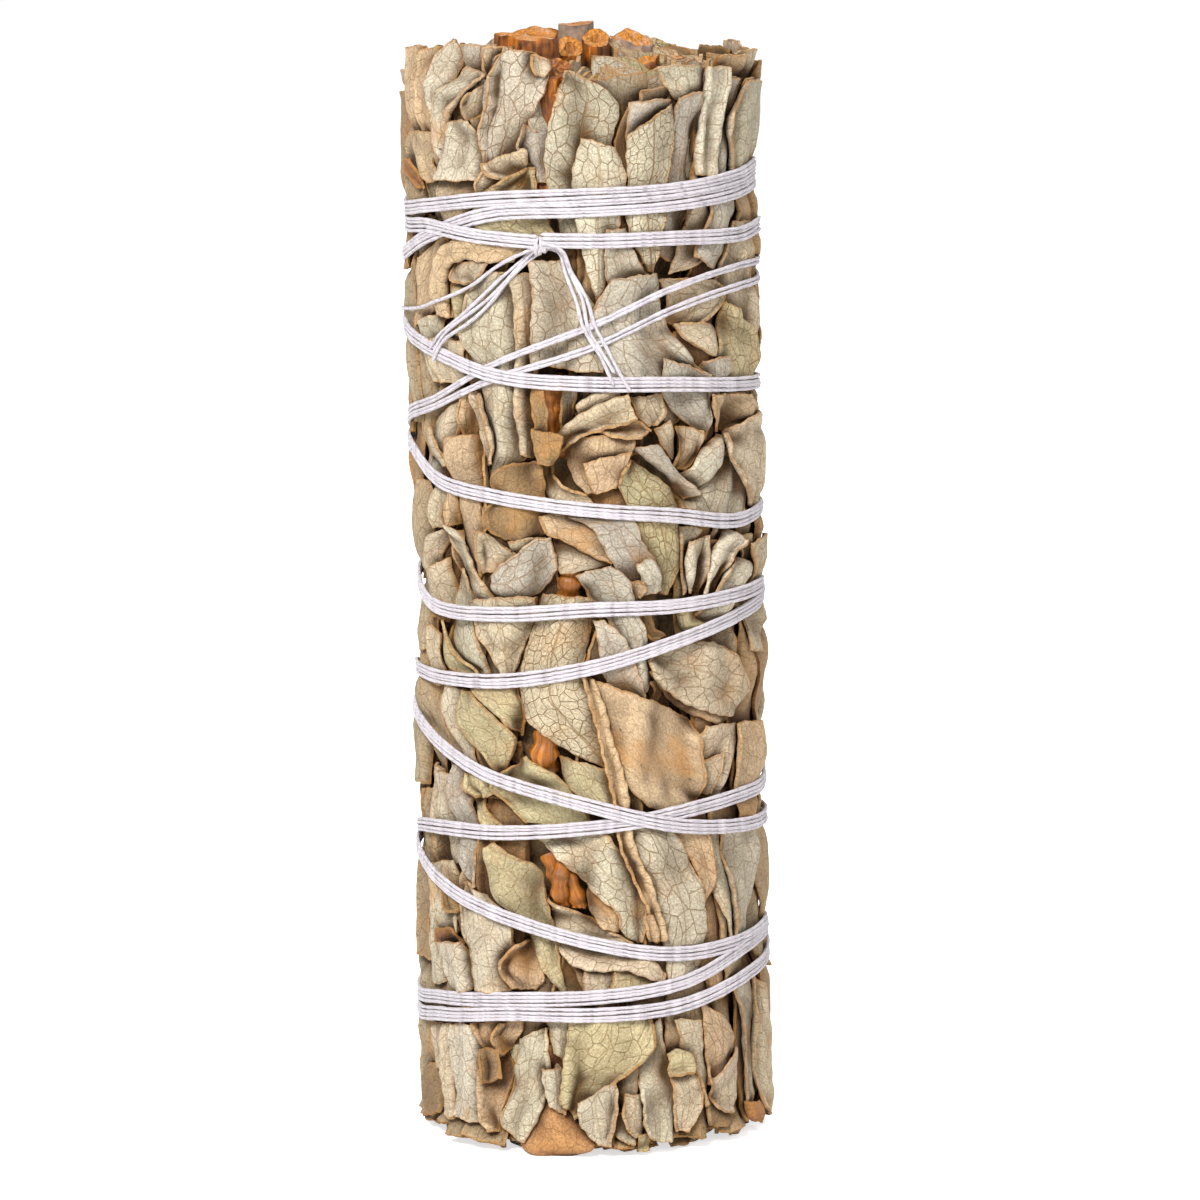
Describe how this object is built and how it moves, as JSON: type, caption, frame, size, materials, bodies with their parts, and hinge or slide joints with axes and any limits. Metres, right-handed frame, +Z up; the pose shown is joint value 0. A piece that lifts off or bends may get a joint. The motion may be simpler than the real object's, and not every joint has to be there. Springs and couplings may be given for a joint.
{
  "type": "sage bunch",
  "caption": "Bunch of dried white sage, long leaves packed upright round woody stems and wound tight with white cotton thread, standing on its cut ends",
  "frame": {"origin": "middle of the base, on the surface that the bunch stands on", "axes": "+Z up along the bunch, -Y the front with the knot, +X right"},
  "size_m": [0.0336, 0.0336, 0.1017],
  "materials": {
    "sage_leaf": "dry and matt, grey-green with a fine net of brown veins and thin brown margins",
    "dry_stem": "dry woody stem, amber brown, paler where it is cut",
    "cotton_thread": "matt white twisted cotton"
  },
  "bodies": {
    "root": {"leaf_back_1_1": "sage_leaf", "leaf_back_1_2": "sage_leaf", "leaf_back_2_1": "sage_leaf", "leaf_back_2_2": "sage_leaf", "leaf_back_3_1": "sage_leaf", "leaf_back_3_2": "sage_leaf", "leaf_back_4_1": "sage_leaf", "leaf_back_4_2": "sage_leaf", "leaf_back_5_1": "sage_leaf", "leaf_back_5_2": "sage_leaf", "leaf_back_6_1": "sage_leaf", "leaf_back_6_2": "sage_leaf", "leaf_back_7_1": "sage_leaf", "leaf_back_7_2": "sage_leaf", "leaf_back_8_1": "sage_leaf", "leaf_back_8_2": "sage_leaf", "leaf_below_knot": "sage_leaf", "leaf_curled": "sage_leaf", "leaf_diamond": "sage_leaf", "leaf_foot_brown": "sage_leaf", "leaf_foot_front": "sage_leaf", "leaf_left_diagonal": "sage_leaf", "leaf_left_foot": "sage_leaf", "leaf_left_top": "sage_leaf", "leaf_long_left": "sage_leaf", "leaf_low_left": "sage_leaf", "leaf_low_right": "sage_leaf", "leaf_middle": "sage_leaf", "leaf_olive": "sage_leaf", "leaf_oval": "sage_leaf", "leaf_right_brown": "sage_leaf", "leaf_right_foot": "sage_leaf", "leaf_right_pale": "sage_leaf", "leaf_right_top": "sage_leaf", "leaf_tan": "sage_leaf", "leaf_top_edge": "sage_leaf", "leaf_top_front": "sage_leaf", "leaf_top_left": "sage_leaf", "leaf_top_right": "sage_leaf", "leaf_yellow": "sage_leaf", "sprig_1_leaves": "sage_leaf", "sprig_2_leaves": "sage_leaf", "sprig_3_leaves": "sage_leaf", "sprig_4_leaves": "sage_leaf", "sprig_5_leaves": "sage_leaf", "sprig_6_leaves": "sage_leaf", "sprig_7_leaves": "sage_leaf", "stem_1": "dry_stem", "stem_2": "dry_stem", "stem_3": "dry_stem", "stem_4": "dry_stem", "stem_5": "dry_stem", "stem_6": "dry_stem", "stem_7": "dry_stem", "stem_8": "dry_stem", "stem_9": "dry_stem", "thread": "cotton_thread"}
  },
  "joints": []
}
